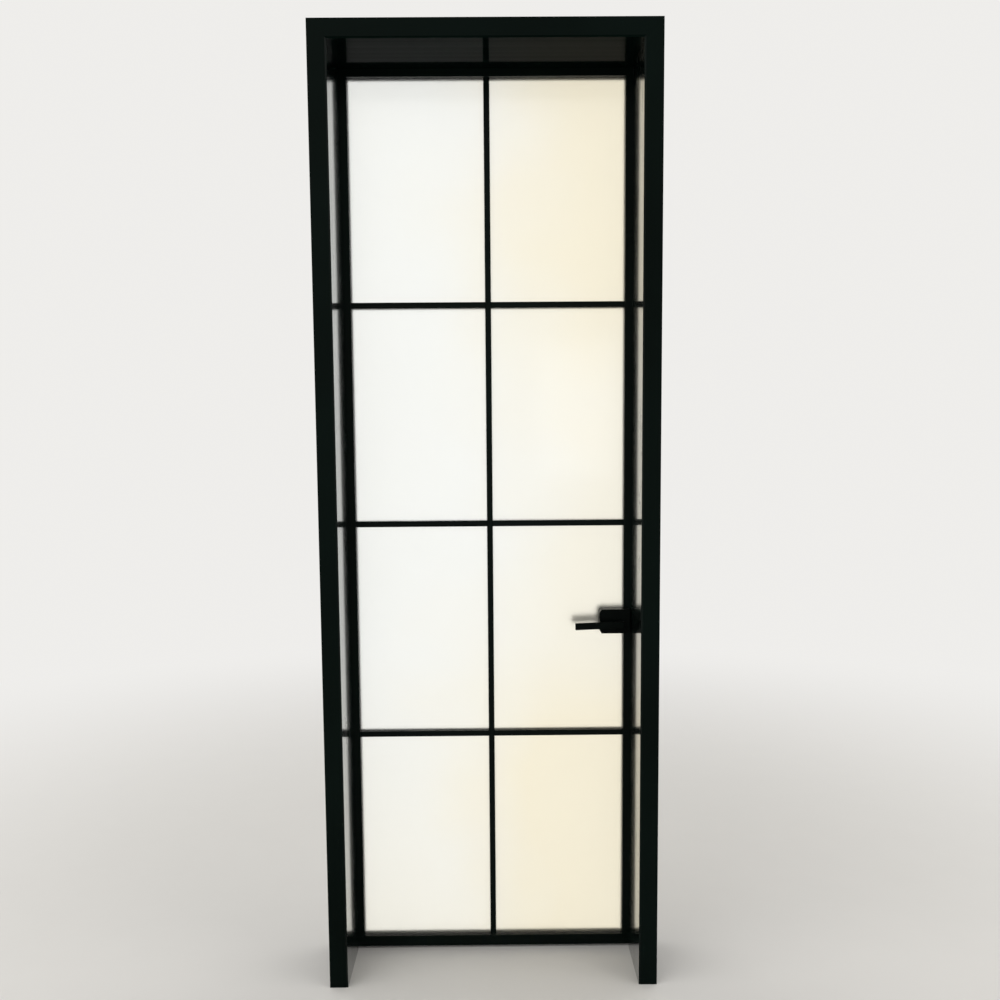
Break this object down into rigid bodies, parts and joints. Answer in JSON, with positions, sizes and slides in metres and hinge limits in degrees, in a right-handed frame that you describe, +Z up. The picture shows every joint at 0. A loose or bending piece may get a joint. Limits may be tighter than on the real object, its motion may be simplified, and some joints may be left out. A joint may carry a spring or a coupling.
{
  "type": "glass door",
  "caption": "Narrow-framed glass swing door with glazing bars, box lock and lever, in a deep rebated black lining with flat casings on both sides.",
  "frame": {"origin": "on the floor, in the middle of the doorway's width and of the wall's thickness", "axes": "+X towards the lock side, +Y away from the viewer through the wall, +Z up"},
  "size_m": [0.9, 0.312, 2.55],
  "materials": {
    "black_casing": "satin black powder coat",
    "black_lining": "glossy black powder coat",
    "black_leaf_frame": "semi-gloss black powder coat",
    "black_bar": "satin black powder coat",
    "black_hardware": "fine-textured black coat on cast and turned metal",
    "plain_steel": "plain steel",
    "mill_aluminium": "mill finish",
    "milky_glass": "translucent milky white, polished faces",
    "black_rubber": "matte",
    "dark_plastic": "moulded"
  },
  "bodies": {
    "frame": {"lining_left": "black_lining", "lining_right": "black_lining", "lining_head": "black_lining", "casing_front_left": "black_casing", "casing_front_right": "black_casing", "casing_front_head": "black_casing", "casing_back_left": "black_casing", "casing_back_right": "black_casing", "casing_back_head": "black_casing", "door_seal_left": "black_rubber", "door_seal_right": "black_rubber", "door_seal_head": "black_rubber", "lining_corner_keys": "mill_aluminium", "strike_plate": "plain_steel", "strike_box": "dark_plastic", "hinge_1_frame_plate": "black_hardware", "hinge_2_frame_plate": "black_hardware", "hinge_3_frame_plate": "black_hardware", "hinge_pins": "black_hardware", "frame_screws": "plain_steel"},
    "leaf": {"stile_hinge_side": "black_hardware", "stile_lock_side": "black_leaf_frame", "rail_top": "black_leaf_frame", "rail_bottom": "black_leaf_frame", "leaf_corner_keys": "mill_aluminium", "glass_pane": "milky_glass", "glazing_seal_front": "black_rubber", "glazing_seal_back": "black_rubber", "glazing_bead_left": "black_leaf_frame", "glazing_bead_right": "black_leaf_frame", "glazing_bead_top": "black_leaf_frame", "glazing_bead_bottom": "black_leaf_frame", "setting_blocks": "dark_plastic", "glazing_bar_front_upright": "black_bar", "glazing_bar_front_cross_1": "black_bar", "glazing_bar_front_cross_2": "black_bar", "glazing_bar_front_cross_3": "black_bar", "glazing_bar_back_upright": "black_bar", "glazing_bar_back_cross_1": "black_bar", "glazing_bar_back_cross_2": "black_bar", "glazing_bar_back_cross_3": "black_bar", "hinge_1_leaf_plate": "black_hardware", "hinge_2_leaf_plate": "black_hardware", "hinge_3_leaf_plate": "black_hardware", "leaf_screws": "plain_steel", "lock_cover_front": "black_hardware", "lock_cover_back": "black_hardware", "lock_cover_bolts": "plain_steel", "lock_case": "plain_steel", "lock_forend": "plain_steel", "latch_spring": "plain_steel"},
    "lever": {"lever_front": "black_hardware", "lever_back": "black_hardware", "lever_spindle": "plain_steel", "lever_hub": "plain_steel", "lever_set_screws": "plain_steel"},
    "latch": {"latch_bolt": "plain_steel"}
  },
  "joints": [
    {"name": "door_swing", "type": "hinge", "parent": "frame", "child": "leaf", "pos_m": [-0.413, 0.1385, 0], "axis": [0, 0, 1], "range_deg": [0, 170]},
    {"name": "lever_turn", "type": "hinge", "parent": "leaf", "child": "lever", "pos_m": [0.366, 0.108, 0.974], "axis": [0, -1, 0], "range_deg": [0, 40], "stiffness_Nm_per_rad": 1.6, "springref_deg": -22.92},
    {"name": "latch_slide", "type": "slide", "parent": "leaf", "child": "latch", "axis": [-1, 0, 0], "range_m": [0, 0.012], "deforming": ["latch_spring"]}
  ],
  "couplings": [
    {"joint": "latch_slide", "follows": "lever_turn", "m_per_rad": 0.01718}
  ]
}
